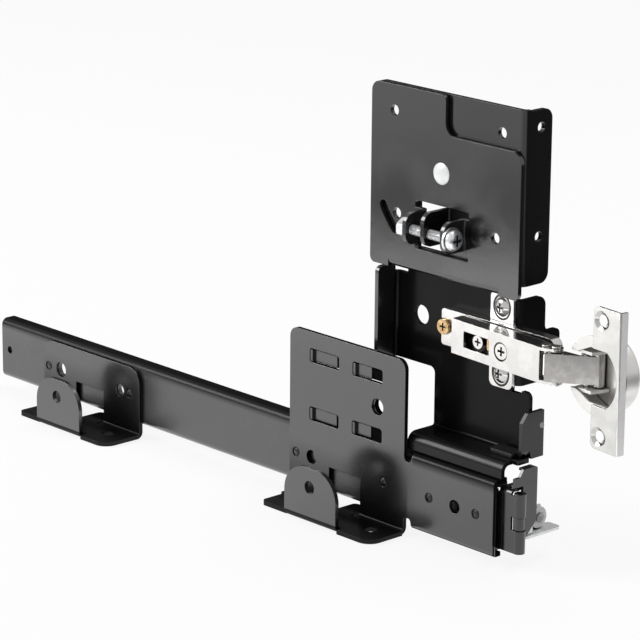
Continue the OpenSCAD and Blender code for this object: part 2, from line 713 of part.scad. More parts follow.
// Follower sheet behind the upper plate, with side flange and middle ear
module follower_plate() {
    z0 = 131.3;
    z1 = 212;
    fx = plate_x1 - sheet_t;
    color("#101113") difference() {
        union() {
            xz(foll_y, foll_back) difference() {
                round2(plate_x0 + 0.6, z0, fx - bend_r, z1, [3, 0, 0, 5]);
                box2(105, 137.6, ear2_x + sheet_t + bend_r, 160);
            }
            xy(z0, z1) bend2(fx - bend_r, foll_back + bend_r, 1, -1, bend_r, sheet_t);
            yz(fx, plate_x1)
                round2(foll_back + bend_r, z0, foll_y + flange_depth, z1 - 0.5, [0, 5, 5, 0]);
            // middle ear comes forward through the plate's window
            xz(foll_y, foll_back) box2(ear2_x + bo, 143.2, ear2_x + bo + 1, 159.2);
            xy(143.2, 159.2) bend2(ear2_x + bo, foll_y - bend_r, -1, 1, bend_r, sheet_t);
            adjuster_ear(ear2_x, 143.2, 159.2, foll_y - bend_r);
        }
        for (h = [[90.7, 199.7], [93.2, 151.7], [156.1, 151.7]])
            hole_y(h[0] - 1.9, h[1] - 0.9, plate_hole_d + 2.2, foll_y, foll_back);
        hole_y(156.7, 199.7, plate_hole_d, foll_y, foll_back);
        hole_y(pivot_x, pivot_z, pivot_d + 2 * pin_gap, foll_y, foll_back);
        for (s = [-1, 1])
            bar_x(30.3, 178.4 + s * flange_hole_step / 2, flange_hole_d / 2, fx - 1, plate_x1 + 1);
    }
}

module pivot_rivet() {
    color("#cfd1d3") union() {
        bar_y(pivot_x, pivot_z, pivot_d / 2, plate_y - e, foll_back + 0.2);
        dome_y(pivot_x, pivot_z, pivot_head_d / 2, plate_y, 1.1);
        bar_y(pivot_x, pivot_z, 4.6, foll_back + 0.15, foll_back + 1.2);
    }
}

// Pan head screw along X, head at the right
module adjusting_screw() {
    hx = ear3_x + sheet_t + 1.2;
    color("#d2d4d6") difference() {
        union() {
            bar_x(screw_y, screw_z, shaft_r, ear1_x - 5.4, hx + e);
            bar_x(screw_y, screw_z, 4.9, hx, hx + 2.2);
            translate([hx + 2.2, screw_y, screw_z]) rotate([0, 90, 0])
                cylinder(r1 = 4.9, r2 = 3.4, h = 1.2);
        }
        translate([hx + 1.2, screw_y - 2.6, screw_z - 0.55]) cube([4, 5.2, 1.1]);
        translate([hx + 1.2, screw_y - 0.55, screw_z - 2.6]) cube([4, 1.1, 5.2]);
    }
}

module adjuster_washer() {
    x0 = ear3_x + sheet_t + 0.1;
    color("#c4c6c9") difference() {
        bar_x(screw_y, screw_z, 5.7, x0, x0 + 1);
        bar_x(screw_y, screw_z, shaft_r + pin_gap, x0 - 1, x0 + 2);
    }
}

module adjuster_nut() {
    x0 = ear1_x - 4.3;
    color("#c4c6c9") difference() {
        intersection() {
            translate([x0, screw_y, screw_z]) rotate([0, 90, 0]) cylinder(d = 9.4, h = 4.2, $fn = 6);
            translate([x0 + 4.6, screw_y, screw_z]) sphere(6.3);
        }
        bar_x(screw_y, screw_z, shaft_r + pin_gap, x0 - 1, x0 + 6);
    }
}

// Mounting plate: two wings on the tray and a raised body under the arm
module hinge_plate() {
    bh = 8.65;
    color("#c9cacc") translate([0, 0, hinge_z]) difference() {
        union() {
            xz(tray_y - 2, tray_y)
                round2(wing_x - 7.2, -22.5, wing_x + 7.2, 22.5, [3, 3, 3, 3]);
            xz(body_y, tray_y) round2(116, -bh, 187, bh, [1.5, 4, 4, 1.5]);
        }
        for (s = [-1, 1])
            hole_y(wing_x, s * wing_dz, 4.2, tray_y - 2, tray_y);
        // seat of the brass cam, and the threaded holes of the two arm screws
        hole_y(118.4, 0.3, 7.3, body_y, tray_y);
        translate([115, body_y - 1, -3.35]) cube([3.4, 7, 7.3]);
        hole_y(146.1, 0, 4.4 + 2 * pin_gap, body_y, tray_y);
        hole_y(163.7, 0, 4.8 + 2 * pin_gap, body_y, tray_y);
        // open behind the arm's window, so that the dark tray shows
        xz(body_y - 1, tray_y + 1) round2(126.5, -7.2, 142.2, 3.4, [1, 1, 1, 1]);
        // long groove under the arm
        translate([168, body_y - 1, -3]) cube([14, 3, 6]);
    }
}

module plate_screws() {
    color("#d5d6d8") for (s = [-1, 1]) difference() {
        union() {
            bar_y(wing_x, hinge_z + s * wing_dz, 2.05, tray_y - 2 - e, tray_back + 1);
            dome_y(wing_x, hinge_z + s * wing_dz, 4.6, tray_y - 2, 1.7);
        }
        cross_y(wing_x, hinge_z + s * wing_dz, 4.2, tray_y - 3.7, 1.2);
    }
}

// Channel arm: sloped face, two side walls, ears round the link pins
module hinge_arm() {
    ay = body_y - 0.1;
    color("#c9cacc") translate([0, 0, hinge_z]) difference() {
        union() {
            // face
            xy(-arm_h / 2, arm_h / 2) polygon([[arm_x0, arm_y0], [arm_x1, arm_y1],
                [arm_x1, arm_y1 + arm_t], [arm_x0, arm_y0 + arm_t]]);
            // side walls
            for (s = [0, 1]) xy(s ? arm_h / 2 - arm_t : -arm_h / 2, s ? arm_h / 2 : -arm_h / 2 + arm_t)
                union() {
                    polygon([[arm_x0, arm_y0], [arm_x1, arm_y1], [pin_a[0] + 1.6, 15.2],
                        [pin_a[0] + 1.6, 21.6], [arm_x1 - 2, 22.2], [arm_x0, ay]]);
                    translate(pin_a) circle(3.4);
                }
        }
        // window, and the round hole of the side screw
        xz(5, 22) round2(138.5, -3.9, 155.9, 3.9, [0.8, 0.8, 0.8, 0.8]);
        hole_y(163.7, 0, 8.5, 8, 20);
        for (s = [-1, 1]) {
            bar_z(pin_a[0], pin_a[1], pin_hole_r, s * arm_h / 2 - 2, s * arm_h / 2 + 2);
            bar_z(pin_b[0], pin_b[1], pin_hole_r, s * arm_h / 2 - 2, s * arm_h / 2 + 2);
        }
    }
}

module clamp_screw() {
    color("#b7b9bc") difference() {
        union() {
            bar_y(146.1, hinge_z, 2.2, 20, 29);
            bar_y(146.1, hinge_z, 3.5, 18.6, 21);
            bar_y(146.1, hinge_z, 3.1, 21 - e, body_y);
        }
        cross_y(146.1, hinge_z, 3.6, 18.6, 1.3);
    }
}

module side_screw() {
    color("#d5d6d8") difference() {
        union() {
            bar_y(163.7, hinge_z, 2.4, 17, 29);
            bar_y(163.7, hinge_z, 4.1, 15.6, 18.4);
            bar_y(163.7, hinge_z, 3.3, 18.4 - e, body_y);
        }
        cross_y(163.7, hinge_z, 4.4, 15.6, 1.4);
    }
}

module depth_cam() {
    color("#b8863c") difference() {
        bar_y(118.4, hinge_z + 0.3, 3.6, 23.8, tray_y);
        cross_y(118.4, hinge_z + 0.3, 3.8, 23.8, 1.2);
    }
}

module brass_nut() {
    color("#b8863c") xz(19.2, body_y) round2(151.4, hinge_z - 2.6, 155.4, hinge_z + 2.6,
        [0.6, 0.6, 0.6, 0.6]);
}

// Outer link: face strip, two cheeks on the arm rivets, rolled eye in the cup
module outer_link() {
    turn = 34.4;
    er = 2.6;
    cheek = 1.3;
    color("#cfd0d2") translate([pin_a[0], pin_a[1], hinge_z]) rotate([0, 0, turn]) difference() {
        cl = pin_c - pin_a;
        cx = cl[0] * cos(turn) + cl[1] * sin(turn);
        cy = cl[1] * cos(turn) - cl[0] * sin(turn);
        union() {
            // strip in front of both pins
            xy(-link_half, link_half) box2(-4.5, cy - er, cx, cy - er + 1.3);
            xy(-7.5, 7.5) translate([cx, cy]) circle(er);
            for (s = [-1, 1])
                translate([0, 0, s * (link_half - cheek / 2) - cheek / 2]) linear_extrude(cheek)
                    union() {
                        polygon([[-1.5, cy - er], [11.5, cy - er], [11.5, cy - er + 1.2],
                            [8, -1], [4, 1.4], [0, 2.3], [-1.5, 1.6]]);
                        circle(2.4);
                    }
        }
        translate([cx, cy, -9]) cylinder(r = pin_hole_r, h = 18);
        translate([0, 0, -9]) cylinder(r = pin_hole_r, h = 18);
    }
}

// Inner link: flat bar between two eyes, the cup eye with play
module inner_link() {
    d = (pin_d - pin_b) / norm(pin_d - pin_b);
    long = norm(pin_d - pin_b) + 0.11;
    color("#bfc1c4") translate([pin_b[0], pin_b[1], hinge_z]) rotate([0, 0, atan2(d[1], d[0])])
        xy(-4.8, 4.8) difference() {
            union() {
                box2(1.6, -0.6, long - 1.8, 0.6);
                circle(2);
                translate([long, -0.035]) circle(link_r + open_gap + 0.6);
            }
            circle(pin_hole_r);
            translate([long, -0.035]) circle(link_r + open_gap);
        }
}

// Pins of the arm: the long inner link pin
module arm_pins() {
    color("#d9dadc") union() {
        bar_z(pin_b[0], pin_b[1], link_r, hinge_z - arm_h / 2 - e, hinge_z + arm_h / 2 + e);
        bar_z(pin_b[0], pin_b[1], 2, hinge_z + arm_h / 2, hinge_z + arm_h / 2 + 0.8);
        bar_z(pin_b[0], pin_b[1], 2, hinge_z - arm_h / 2 - 0.8, hinge_z - arm_h / 2);
    }
}

// Two short rivets of the outer link, clear of the inner link between them
module link_pins() {
    inner = link_half - 1.3 - 0.3;
    color("#d9dadc") for (s = [-1, 1]) translate([pin_a[0], pin_a[1], hinge_z])
        scale([1, 1, s]) union() {
            cylinder_from(link_r, inner, arm_h / 2 + e);
            cylinder_from(2.2, arm_h / 2, arm_h / 2 + 0.9);
        }
}

module cylinder_from(r, z0, z1) {
    translate([0, 0, z0]) cylinder(r = r, h = z1 - z0);
}

module cup_pins() {
    color("#d9dadc") for (p = [pin_c, pin_d])
        bar_z(p[0], p[1], link_r, hinge_z - 9.7, hinge_z + 9.7);
}

// Opening of the cup, drawn in the cup's own width and height
module mouth2(grow) {
    intersection() {
        circle(15.5 + grow);
        polygon([[-12, -8.7 - grow], [-3, -12.6 - grow], [17, -12.6 - grow],
            [17, 12.6 + grow], [-3, 12.6 + grow], [-12, 8.7 + grow]]);
    }
    box2(-21, -8.7 - grow, -11.9, 8.7 + grow);
}

// Deep drawn cup: wall, floor, rim with its mouth, and two inner lugs
module hinge_cup() {
    floor_t = 1;
    wing_t = 1.3;
    rim_t = 1.2;
    lug = [8.2, 9.6];
    d_pos = [for (p = [pin_c, pin_d]) let (v = p - cup_c)
        [v[0] * cos(cup_turn) + v[1] * sin(cup_turn), v[1] * cos(cup_turn) - v[0] * sin(cup_turn)]];
    color("#cdcfd1") translate([cup_c[0], cup_c[1], hinge_z]) rotate([0, 0, cup_turn]) difference() {
        union() {
            difference() {
                rotate([-90, 0, 0]) rotate_extrude() union() {
                    box2(0, wing_t, cup_r + 0.4, wing_t + rim_t);
                    round2(0, wing_t, cup_r, cup_depth, [0, 0, cup_corner_r, 0]);
                }
                // hollow, mouth in the rim, and the low wall on the link side
                rotate([-90, 0, 0]) translate([0, 0, wing_t + rim_t])
                    cylinder(r = cup_r - 1.1, h = cup_depth - floor_t - wing_t - rim_t);
                xz(0, wing_t + rim_t + 0.1) mouth2(0);
                xz(0, 8.4) box2(-21, -8.7, -11.9, 8.7);
            }
            for (s = [-1, 1])
                translate([0, 0, s * (lug[0] + lug[1]) / 2 - (lug[1] - lug[0]) / 2])
                    linear_extrude(lug[1] - lug[0])
                        polygon([[-13.6, wing_t + rim_t - e], [-3.4, wing_t + rim_t - e],
                            [-1.8, 8], [-1.8, cup_depth - floor_t + e],
                            [-11.4, cup_depth - floor_t + e], [-13.6, 9]]);
        }
        for (p = d_pos)
            translate([p[0], p[1], -9.9]) cylinder(r = link_r + 0.02, h = 19.8);
        // the wing plate's folded edge passes beside the rim
        translate([16, 0, -30]) cube([10, 4.5, 60]);
    }
}

// Wing plate over the cup's rim, long edge folded back
module cup_flange() {
    ux0 = -0.1;
    ux1 = 17.4;
    wing_t = 1.3;
    hole_u = 4.8;
    hh = cup_wing_h / 2;
    color("#d3d4d6") translate([cup_c[0], cup_c[1], hinge_z]) rotate([0, 0, cup_turn]) difference() {
        union() {
            xz(0, wing_t) round2(ux0, -hh, ux1 - wing_t, hh, [3, 0, 0, 3]);
            xy(-hh, hh) bend2(ux1 - wing_t, wing_t, 1, -1, 0, wing_t);
            translate([ux1 - wing_t, wing_t, -hh]) cube([wing_t, 2.9, cup_wing_h]);
        }
        xz(-1, 2) mouth2(0.3);
        for (s = [-1, 1]) translate([hole_u, 0, s * cup_hole_step / 2]) rotate([-90, 0, 0]) {
            translate([0, 0, -1]) cylinder(d = 5.5, h = 4);
            translate([0, 0, -e]) cylinder(d1 = 9, d2 = 5.5, h = 1);
        }
    }
}

// Fixed leaf in the rail's front end: flange on top, knuckles at two heights
module flap_bracket() {
    ly = rail_y + rail_t;
    color("#141518") difference() {
        union() {
            xz(ly, ly + 1.2) union() {
                box2(151, rail_z - flange_in + 0.3, rail_x1 + 0.4, rail_z + flange_in - 0.3);
                box2(rail_x1 + 0.3, 8, flap_x, 35.4);
            }
            // top flange with its rivet
            yz(rail_x1 + 2, flap_x - 3.2) union() {
                bend2(ly + 2.5, 35.4, -1, 1, 1.3, 1.2);
                box2(ly + 2.5, 36.7, 24, 37.9);
            }
            for (z = [[8, 18.9], [25.4, 36.6]])
                bar_z(flap_x, flap_y, knuckle_r, z[0], z[1]);
        }
        for (z = [[7, 20], [25, 39]])
            bar_z(flap_x, flap_y, 1.5, z[0], z[1]);
        // room for the moving leaf's knuckle
        translate([flap_x - 3, ly - 1, 18.9]) cube([8, 8, 6.5]);
        hole_y(154.9, rail_z, 2 * hole_r, ly, ly + 1.2);
        bar_z(flap_x - 5.6, flap_y + 2.6, 1.25, 36, 40);
    }
}

module flap_rivet() {
    color("#d5d6d8") translate([flap_x - 5.6, flap_y + 2.6, 0]) union() {
        cylinder_from(1.2, 36.7 - e, 37.9 + e);
        cylinder_from(2.3, 37.9, 38.5);
        cylinder_from(2, 36.2, 36.7);
    }
}

// Moving leaf with its narrow knuckle
module guide_flap() {
    lx = flap_x - 2.8;
    color("#141518") difference() {
        union() {
            yz(lx, lx + 1.5) difference() {
                polygon([[20.4, 14.6], [23.6, 14.6], [29.7, 20.7], [29.7, 46], [29.7, 46.8],
                    [20.6, 46.8], [18.4, 43.4], [15, 43.4], [15, 39.1], [20.4, 39.1]]);
                corner2(29.7, 46.8, 1, 1, 1.4);
            }
            // neck to the knuckle
            xy(19.2, 25.1) union() {
                polygon([[lx, 16.4], [lx + 0.6, 15.1], [flap_x, 14.95], [flap_x, 19.2],
                    [lx + 1.5, 20.6], [lx, 20.6]]);
                translate([flap_x, flap_y]) circle(2.3);
            }
            // folded top, just under the end tab
            xy(45.6, 46.8) box2(lx - 2.4, 21.4, lx + e, 28.6);
        }
        bar_z(flap_x, flap_y, 1.5, 18, 26);
    }
}

module flap_pin() {
    color("#9a9da1") bar_z(flap_x, flap_y, 1.45, 8.6, 35.8);
}

// Pale angle behind the leaf that carries the roller
module guide_arm() {
    lx = flap_x - 2.8;
    ax = roller_x - 1.5;
    color("#e4e5e6") difference() {
        union() {
            xy(12.6, 13.8) round2(ax, 23, lx + 1.5, 46.5, [2, 2, 2, 2]);
            translate([ax, 29.2, 13.8 - e]) cube([1.2, 11, 10.2]);
            translate([lx - 1.2, 23.2, 13.8 - e]) cube([1.2, 5.8, 13]);
        }
        bar_x(roller_y, roller_z, 1.5 + pin_gap, ax - 1, ax + 2);
    }
}

module guide_roller() {
    color("#8e9195") difference() {
        translate([roller_x, roller_y, roller_z]) rotate([0, 90, 0]) rotate_extrude()
            round2(0, 0, roller_d / 2, roller_w, [0, 0.5, 0.5, 0]);
        bar_x(roller_y, roller_z, 1.5 + pin_gap, roller_x - 1, roller_x + roller_w + 1);
    }
}

module roller_axle() {
    ax = roller_x - 1.5;
    color("#c6c8ca") union() {
        bar_x(roller_y, roller_z, 1.5, ax - e, roller_x + roller_w + 0.3 + e);
        bar_x(roller_y, roller_z, 2.3, roller_x + roller_w + 0.3, roller_x + roller_w + 1);
        bar_x(roller_y, roller_z, 2.3, ax - 0.7, ax);
    }
}

cabinet_rail();
front_bracket();
rear_bracket();
bracket_rivets();
ball_retainer();
race_balls_top();
race_balls_bottom();
runner();
runner_rivets();
runner_bracket();
carrier();
end_tab();
end_tab_rivet();
follower_plate();
pivot_rivet();
adjusting_screw();
adjuster_washer();
adjuster_nut();
hinge_plate();
plate_screws();
hinge_arm();
clamp_screw();
side_screw();
depth_cam();
brass_nut();
outer_link();
inner_link();
arm_pins();
link_pins();
cup_pins();
hinge_cup();
cup_flange();
flap_bracket();
flap_rivet();
guide_flap();
flap_pin();
guide_arm();
guide_roller();
roller_axle();
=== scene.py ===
# %% [markdown]
# # A pocket door slide
# The solids come from the CAD model, exact and in metres. Blender's work here
# is how the metal looks: glossy black paint on folded sheet, nickel on the
# cup hinge, zinc on the screws, brass on two small parts. Only the adjusting
# screw is made anew, because its thread is too fine for the solids.

import math

import bmesh
import bpy
from mathutils import Matrix, Vector


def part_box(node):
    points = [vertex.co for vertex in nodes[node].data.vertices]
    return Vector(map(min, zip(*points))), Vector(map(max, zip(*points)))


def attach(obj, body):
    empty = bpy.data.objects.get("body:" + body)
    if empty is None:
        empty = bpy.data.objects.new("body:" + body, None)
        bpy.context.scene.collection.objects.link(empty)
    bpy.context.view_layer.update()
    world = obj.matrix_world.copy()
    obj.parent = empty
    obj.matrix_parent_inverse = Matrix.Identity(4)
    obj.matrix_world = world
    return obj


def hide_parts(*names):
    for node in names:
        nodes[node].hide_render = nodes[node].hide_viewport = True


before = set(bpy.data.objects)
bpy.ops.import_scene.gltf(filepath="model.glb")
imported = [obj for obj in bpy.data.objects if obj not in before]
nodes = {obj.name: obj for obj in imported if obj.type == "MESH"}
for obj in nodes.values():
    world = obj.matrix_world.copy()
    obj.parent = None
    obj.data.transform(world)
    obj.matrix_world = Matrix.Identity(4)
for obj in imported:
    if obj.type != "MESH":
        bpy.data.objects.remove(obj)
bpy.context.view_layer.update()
scene = bpy.context.scene
scene.view_settings.view_transform = "Standard"
print("CAD nodes:", len(nodes))

# %% [markdown]
# ## The camera
# A product photo is taken from far away with a long lens, so that parallel
# edges stay nearly parallel. The place and the turn below were fitted to the
# edges of the rail and of the upright plates. A camera looks along its own
# -Z, so the three rows below are its right, its up and its backward axis.

# %% Camera
CAM_RIGHT = (0.681115, 0.732129, 0.008391)
CAM_UP = (-0.206575, 0.181161, 0.961513)
CAM_BACK = (0.702431, -0.656634, 0.274631)
CAM_PLACE = Vector((1.104373, -0.975308, 0.504662))
IMAGE_PX, FOCAL_PX, SENSOR_MM = 640, 3163.0, 36.0

camera_data = bpy.data.cameras.new("photo_camera")
camera_data.sensor_width = SENSOR_MM
camera_data.lens = FOCAL_PX / IMAGE_PX * SENSOR_MM
camera_data.clip_end = 20.0
camera = bpy.data.objects.new("photo_camera", camera_data)
scene.collection.objects.link(camera)
turn = Matrix((CAM_RIGHT, CAM_UP, CAM_BACK)).transposed()
camera.matrix_world = Matrix.Translation(CAM_PLACE) @ turn.to_4x4()
scene.camera = camera
print("lens", round(camera_data.lens, 1), "mm")

# %% [markdown]
# ## One way to add a node
# A node needs its type, then its settings, then a value or a link for each
# socket that is used. One function does that for every tree in this lesson.
# It takes sockets by name, with _ for a blank, or by number where two of
# them share a name. What it gives back is a wire: one output of the node,
# which the next cell defines and which other nodes can be linked to.

# %% A node with its settings and sockets
def feed(tree, socket, value):
    """Link a wire to the socket, or write a plain value into it."""
    if isinstance(value, Wire):
        tree.links.new(value.socket, socket)
    else:
        socket.default_value = value


def add_node(tree, kind, settings=None, out=0, numbered=None, **named):
    node = tree.nodes.new(kind)
    for name, value in (settings or {}).items():
        setattr(node, name, value)
    for name, value in named.items():
        feed(tree, node.inputs[name.replace("_", " ")], value)
    for number, value in (numbered or {}).items():
        feed(tree, node.inputs[number], value)
    return Wire(tree, node.outputs[out])


# %% [markdown]
# ## Writing shader maths as sums
# A procedural material is a small calculation. Written node by node it is
# long and hard to read, so the class below wraps one socket and lets plain
# Python operators add the Math nodes. The reflected forms are there so that
# `1 - mask` works as well as `mask - 1`. Most masks are soft steps, and
# `above` and `below` make one from a place or a noise.

# %% A socket that can be added and multiplied
class Wire:
    """One output socket of a node tree, used in Python expressions."""

    def __init__(self, tree, socket):
        self.tree, self.socket = tree, socket

    def also(self, name):
        """Another output of the same node."""
        return Wire(self.tree, self.socket.node.outputs[name])

    def _math(self, kind, *values, clamp=False):
        return add_node(self.tree, "ShaderNodeMath", {"operation": kind, "use_clamp": clamp},
                        numbered=dict(enumerate(values)))

    def __add__(self, other):
        return self._math("ADD", self, other)

    def __radd__(self, other):
        return self._math("ADD", other, self)

    def __sub__(self, other):
        return self._math("SUBTRACT", self, other)

    def __rsub__(self, other):
        return self._math("SUBTRACT", other, self)

    def __mul__(self, other):
        return self._math("MULTIPLY", self, other)

    def __rmul__(self, other):
        return self._math("MULTIPLY", other, self)

    def larger(self, other):
        return self._math("MAXIMUM", self, other)

    def root(self):
        return self._math("SQRT", self)

    def above(self, edge, soft):
        """0 below edge, rising to 1 over the width soft."""
        return self._math("MULTIPLY", self - edge, 1.0 / soft, clamp=True)

    def below(self, edge, soft):
        """1 below edge, falling to 0 over the width soft."""
        return 1.0 - self.above(edge, soft)


def axes(place):
    """X, Y and Z of a wire that carries a vector."""
    x = add_node(place.tree, "ShaderNodeSeparateXYZ", out="X", Vector=place)
    return x, x.also("Y"), x.also("Z")


# %% [markdown]
# ## A helper for finishes
# Every finish starts from the same few things: object coordinates, so that
# the pattern stays on the metal when a joint moves, and a Principled shader.
# The Bevel node gives each sharp CAD edge the thin bright line that a folded
# and painted sheet has, without touching the mesh. The Ambient Occlusion
# node finds seams, where two pieces meet and little light gets in.

# %% A finish and its nodes
class Finish:
    """A material under construction."""

    def __init__(self, name):
        self.material = bpy.data.materials.new(name)
        self.material.use_nodes = True
        self.tree = self.material.node_tree
        self.shader = self.tree.nodes["Principled BSDF"]
        self.place = self.add("ShaderNodeTexCoord", out="Object")

    def add(self, kind, settings=None, out=0, numbered=None, **named):
        return add_node(self.tree, kind, settings, out, numbered, **named)

    def set(self, **inputs):
        for name, value in inputs.items():
            feed(self.tree, self.shader.inputs[name.replace("_", " ")], value)

    def noise(self, size_mm, stretch=(1, 1, 1), detail=3.0, rough=0.5):
        place = self.add("ShaderNodeMapping", Vector=self.place, Scale=stretch)
        return self.add("ShaderNodeTexNoise", out="Fac", Vector=place, Scale=1000.0 / size_mm,
                        Detail=detail, Roughness=rough)

    def mix(self, factor, dark, light):
        """A colour between two, each a wire or three numbers."""
        dark, light = (end if isinstance(end, Wire) else (*end, 1.0) for end in (dark, light))
        return self.add("ShaderNodeMix", {"data_type": "RGBA"}, out=2, numbered={0: factor, 6: dark, 7: light})

    def openness(self, reach):
        """1 on an open face, less where another face is nearer than reach."""
        return self.add("ShaderNodeAmbientOcclusion", {"samples": 6}, out="AO", Distance=reach)

    def ring_mark(self, centre_x, centre_z, inner, outer, tall):
        """1 on a ring about an axis along Y, 0 elsewhere; tall stretches it along Z."""
        x, _, z = axes(self.place)
        across, along = x - centre_x, (z - centre_z) * (1.0 / tall)
        far = (across * across + along * along).root()
        return far.above(inner, 0.00015) * far.below(outer, 0.0002)

    def relief(self, height, depth_mm, edge_mm):
        """Bump over softened edges."""
        edge = self.add("ShaderNodeBevel", {"samples": 4}, Radius=edge_mm / 1000.0)
        bump = self.add("ShaderNodeBump", Height=height, Normal=edge, Distance=depth_mm / 1000.0, Strength=1.0)
        self.set(Normal=bump)

    def lay_over(self, share, other):
        """Show the other shader in place of this one, as far as share says."""
        own = Wire(self.tree, self.shader.outputs[0])
        blend = self.add("ShaderNodeMixShader", numbered={0: share, 1: own, 2: other})
        feed(self.tree, self.tree.nodes["Material Output"].inputs[0], blend)


# %% [markdown]
# ## Black paint on folded steel
# The brackets, the rail and the carriage are dipped in a thin glossy black
# coat. It has a faint orange-peel skin that breaks up reflections, and a few
# duller clouds where fingers have touched it. In seams the coat mirrors only
# the piece beside it, so shade is painted there: the coat is mixed with a plain
# matt black.

# %% Glossy black
# The matt black that paints shade in seams and in the dark places.
PAINTED_SHADE_BLACK = (0.006, 0.006, 0.0064, 1.0)
PAINT_SEAM_REACH = 0.0022


def glossy_black(name, peel_mm, rough, tone, gloss, painted_shade_places=None):
    """rough is a low and a high value; the last argument gives the share of matt black, painted as shade, from
    X, Y and Z.
    """
    paint = Finish(name)
    clouds = paint.noise(34.0, detail=4.0)
    skin = paint.noise(peel_mm, detail=2.0)
    grit = paint.noise(0.35, detail=2.0)
    dull = clouds.above(0.46, 0.22)
    rough_low, rough_high = rough
    paint.set(Base_Color=paint.mix(dull, (tone, tone, tone * 1.04), (tone * 1.5, tone * 1.5, tone * 1.56)),
              Roughness=rough_low + dull * (rough_high - rough_low) + grit * 0.03, Specular_IOR_Level=gloss)
    paint.relief(skin * 0.8 + grit * 0.2, depth_mm=0.022, edge_mm=0.35)
    # Painted shade: matt black where the Ambient Occlusion node finds a seam.
    painted_shade = paint.openness(PAINT_SEAM_REACH).below(0.50, 0.34) * 0.9
    if painted_shade_places:
        painted_shade = painted_shade_places(*axes(paint.place)).larger(painted_shade)
    paint.lay_over(painted_shade, paint.add("ShaderNodeBsdfDiffuse", Color=PAINTED_SHADE_BLACK))
    return paint.material


# %% [markdown]
# ## Painted shade on the black sheet
# In the photo the black sheet is darkest where it mirrors things outside the
# picture and where it lies in shade: deep in the tray, on the feet, along the
# rolled bends. What it mirrors isn't known, so these dark places are painted:
# each is written down as a range of X, Y or Z in metres with a share of matt
# black from 0 to 1. Such a mask needs no painting by hand, and it stays on the
# metal when a joint moves.

# %% Painted shade on the three large pieces
SHARP = 0.0002
RAIL_BEND, BEND_SOFT = 0.0052, 0.0035
BRACKET_BACK_Y = 0.0125
WINDOW_FRONT_Y, WINDOW_BACK_Y = 0.0108, 0.0119
FOOT_TOP_Z, FOOT_FADE_Z, FOOT_FADE_TALL = 0.0034, 0.004, 0.026
UPRIGHT_Y, UPRIGHT_END_X = 0.0098, 0.110
SLEEVE_X, SLEEVE_BEND_Z = 0.1128, 0.0352
TRAY_Y, TRAY_FOOT_Z = 0.0285, 0.068

rail_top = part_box("cabinet_rail")[1].z


def painted_dark_bend(z, bend_z):
    """Painted dark reflection along the bend of a top edge, from bend_z up."""
    return z.above(bend_z, BEND_SOFT) * 0.82


# Painted dark reflection along the rail's rolled top.
def rail_places(x, y, z):
    return painted_dark_bend(z, rail_top - RAIL_BEND)


def bracket_places(x, y, z):
    """Painted shade behind the sheet, in the lanced windows, on the foot and above it, on the rail sleeve's
    bend.
    """
    behind, in_front = y.above(BRACKET_BACK_Y, SHARP), y.below(BRACKET_BACK_Y, SHARP)
    windows = y.above(WINDOW_FRONT_Y, SHARP) * y.below(WINDOW_BACK_Y, SHARP) * 0.92
    foot = z.below(FOOT_TOP_Z, 0.0004) * 0.85
    upright = y.above(UPRIGHT_Y, 0.0004) * x.below(UPRIGHT_END_X, 0.001)
    above_foot = z.below(FOOT_FADE_Z, FOOT_FADE_TALL) * upright * 0.8 * in_front
    sleeve_bend = painted_dark_bend(z, SLEEVE_BEND_Z) * x.above(SLEEVE_X, 0.001)
    return behind + (foot.larger(windows) * in_front).larger(sleeve_bend).larger(above_foot)


def carrier_places(x, y, z):
    """Painted shade on the deep tray and, in front of it, on everything near the bottom shelf."""
    tray = y.above(TRAY_Y, SHARP) * 0.88
    return tray + z.below(TRAY_FOOT_Z, 0.0004) * 0.74 * y.below(TRAY_Y, SHARP)


# %% [markdown]
# ## Five black coats
# All black pieces have the same kind of paint, but each has its own tone and
# gloss, set to how light or dark that piece looks, so these differences paint
# light and shade. The rail's is the palest and roughest, and that of the small
# sheets the smoothest. Rivets and tab are the darkest and shine least. Only the
# three large pieces need places of painted shade.

# %% The black finishes
black_rail = glossy_black("black_rail_paint", peel_mm=3.2, rough=(0.22, 0.32), tone=0.022, gloss=0.80,
                          painted_shade_places=rail_places)
black_bracket = glossy_black("black_bracket_paint", peel_mm=2.4, rough=(0.18, 0.26), tone=0.011, gloss=0.95,
                             painted_shade_places=bracket_places)
black_carrier = glossy_black("black_carriage_paint", peel_mm=2.4, rough=(0.15, 0.24), tone=0.008, gloss=0.85,
                             painted_shade_places=carrier_places)
black_sheet = glossy_black("black_painted_sheet", peel_mm=2.0, rough=(0.11, 0.20), tone=0.007, gloss=0.72)
black_rivet = glossy_black("black_rivet_paint", peel_mm=2.0, rough=(0.20, 0.30), tone=0.006, gloss=0.40)
print("black finishes ready")

# %% [markdown]
# ## Nickel, zinc, brass
# Nickel plate on the cup hinge is bright with a warm tint and fine streaks
# from rolling. Zinc is cooler, with small spangles. Brass keeps turning
# marks and a darker tarnish. A metal's colour is in its reflection, so
# Metallic is 1, and it is lower only for plating that looks milky.
#
# Seams are painted nearly black as shade, and so are the narrow shadows round
# screw heads and screw holes. Each of those is a ring about an axis along Y,
# found from the distance to that axis. The wing plate's edges towards +X have a
# painted highlight: they are lighter, and the direction of the face, its
# Normal, finds them.

# %% Plated metals
METAL_SEAM_REACH = 0.0012
# The colour that paints shade in seams and shadow rings.
PAINTED_SHADE_TINT = (0.03, 0.03, 0.03)


